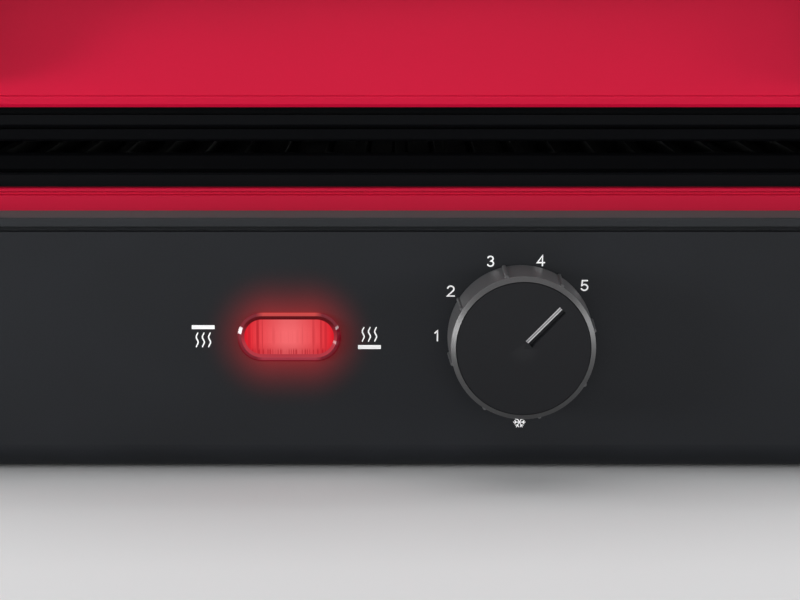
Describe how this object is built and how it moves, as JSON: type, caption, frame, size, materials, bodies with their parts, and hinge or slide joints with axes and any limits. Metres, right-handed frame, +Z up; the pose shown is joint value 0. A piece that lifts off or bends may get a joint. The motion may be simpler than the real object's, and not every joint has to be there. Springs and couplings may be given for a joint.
{
  "type": "electric contact grill",
  "caption": "Electric contact grill with a red floating lid, ribbed non-stick plates, grey base with thermostat knob and lamp, bar handle and side drip tray.",
  "frame": {"origin": "on the table under the middle of the closed grill's outline, handle included", "axes": "+Z up, -Y towards the user at the control panel and handle, +X to the user's right along the grill's width"},
  "size_m": [0.36, 0.323, 0.161],
  "materials": {
    "slate_plastic": "fine matte grain",
    "black_plastic": "satin heat-proof moulding",
    "red_plastic": "smooth satin gloss",
    "nonstick": "black non-stick coat on a casting",
    "sheet_steel": "bright pressed sheet",
    "element_steel": "dull heat-tinted tube",
    "screw_steel": "zinc-plated",
    "spring_steel": "drawn wire",
    "brushed_grip": "brushed tube",
    "silver_inlay": "silver satin inlay",
    "cream_plastic": "moulded insulating plastic",
    "red_lens": "translucent ribbed lens",
    "lamp_glass": "neon lamp glass",
    "rubber": "soft matte rubber"
  },
  "bodies": {
    "base": {"base_housing": "slate_plastic", "base_deck": "slate_plastic", "bottom_cover": "black_plastic", "feet": "rubber", "bottom_screws": "screw_steel", "lower_trim": "red_plastic", "lower_plate_seat": "black_plastic", "lower_grill_plate": "nonstick", "lower_reflector": "sheet_steel", "lower_heating_element": "element_steel", "drain_chute": "black_plastic", "thermostat": "cream_plastic", "thermostat_nut": "screw_steel", "indicator_lens": "red_lens", "lamp_holder": "cream_plastic", "indicator_lamp": "lamp_glass", "cord_gland": "rubber", "terminal_block": "cream_plastic", "lower_release_spring": "spring_steel", "hinge_tower_left": "slate_plastic", "hinge_tower_right": "slate_plastic", "tower_screws": "screw_steel"},
    "knob": {"knob": "slate_plastic", "knob_pointer": "silver_inlay", "thermostat_shaft": "screw_steel"},
    "lower_release": {"lower_release_button": "black_plastic"},
    "drip_tray": {"drip_tray": "black_plastic"},
    "hinge_blocks": {"hinge_block_left": "cream_plastic", "hinge_block_right": "cream_plastic", "hinge_pin_left": "screw_steel", "hinge_pin_right": "screw_steel"},
    "lid": {"hinge_arm_left": "sheet_steel", "hinge_arm_right": "sheet_steel", "hinge_screws": "screw_steel", "lid_shell": "red_plastic", "lid_frame": "black_plastic", "upper_grill_plate": "nonstick", "upper_reflector": "sheet_steel", "upper_heating_element": "element_steel", "upper_release_spring": "spring_steel", "handle_arm_left": "slate_plastic", "handle_arm_right": "slate_plastic", "handle_grip": "brushed_grip", "handle_screws": "screw_steel"},
    "upper_release": {"upper_release_button": "black_plastic"}
  },
  "joints": [
    {"name": "lid_float", "type": "slide", "parent": "base", "child": "hinge_blocks", "axis": [0, 0, 1], "range_m": [0, 0.014]},
    {"name": "lid_open", "type": "hinge", "parent": "hinge_blocks", "child": "lid", "pos_m": [0, 0.1505, 0.089], "axis": [-1, 0, 0], "range_deg": [0, 180]},
    {"name": "knob_turn", "type": "hinge", "parent": "base", "child": "knob", "pos_m": [0.033, -0.1235, 0.0382], "axis": [0, -1, 0], "range_deg": [-6, 224.6]},
    {"name": "lower_release_push", "type": "slide", "parent": "base", "child": "lower_release", "axis": [-1, 0, 0], "range_m": [0, 0.003], "stiffness_N_per_m": 300, "springref_m": -0.002, "deforming": ["lower_release_spring"]},
    {"name": "upper_release_push", "type": "slide", "parent": "lid", "child": "upper_release", "axis": [-1, 0, 0], "range_m": [0, 0.003], "stiffness_N_per_m": 300, "springref_m": -0.002, "deforming": ["upper_release_spring"]},
    {"name": "drip_tray_slide", "type": "slide", "parent": "base", "child": "drip_tray", "axis": [-1, 0, 0], "range_m": [0, 0.109]}
  ]
}
